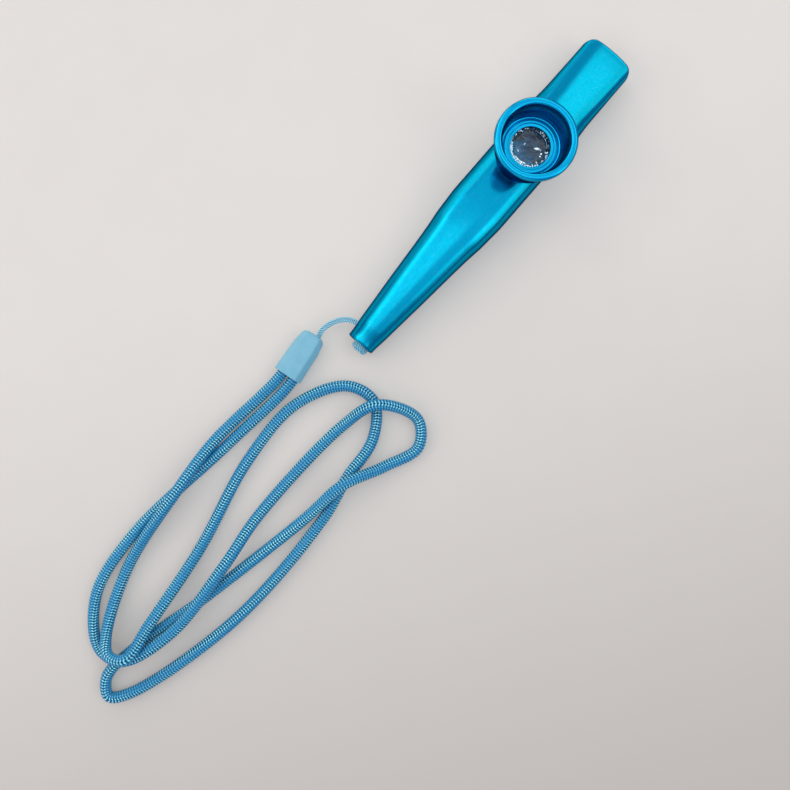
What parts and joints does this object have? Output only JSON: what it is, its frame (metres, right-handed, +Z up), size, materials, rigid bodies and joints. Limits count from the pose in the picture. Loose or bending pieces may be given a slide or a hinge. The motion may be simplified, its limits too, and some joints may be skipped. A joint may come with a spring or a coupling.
{
  "type": "kazoo",
  "caption": "Metal kazoo with a flat mouthpiece, a screw-on resonator cup over a buzzing film, and a braided neck cord joined to its small end by a thin string and a ferrule.",
  "frame": {"origin": "middle of the kazoo's length and width without its cord, on the surface it lies on", "axes": "+X towards the flat mouthpiece, +Y to the side of the string hole, +Z up through the resonator cup"},
  "size_m": [0.2551, 0.0531, 0.0274],
  "materials": {
    "anodised_aluminium": "dyed sky blue and anodised over a bright polish",
    "bare_aluminium": "turned, uncoloured",
    "gasket_rubber": "matt",
    "clear_film": "thin crinkled clear film",
    "film_ring": "thin clear ring bonded to the film",
    "string_cord": "thin doubled string",
    "ferrule_plastic": "satin pale blue",
    "neck_cord_braid": "round braid with light and dark strands"
  },
  "bodies": {
    "kazoo": {"body_tube": "anodised_aluminium", "turret_collar": "bare_aluminium", "gasket_ring": "gasket_rubber", "string": "string_cord", "tail_knot": "string_cord", "ferrule": "ferrule_plastic", "ferrule_knot": "string_cord", "neck_cord": "neck_cord_braid"},
    "diaphragm": {"diaphragm_ring": "film_ring", "diaphragm_film": "clear_film"},
    "cup": {"resonator_cup": "anodised_aluminium"}
  },
  "joints": [
    {"name": "cup_lift", "type": "slide", "parent": "kazoo", "child": "diaphragm", "axis": [0, 0, 1], "range_m": [0, 0.003]},
    {"name": "cup_turn", "type": "hinge", "parent": "diaphragm", "child": "cup", "pos_m": [0.0179, 0, 0.0172], "axis": [0, 0, 1], "range_deg": [0, 720]}
  ],
  "couplings": [
    {"joint": "cup_lift", "follows": "cup_turn", "m_per_rad": 0.00023873}
  ]
}
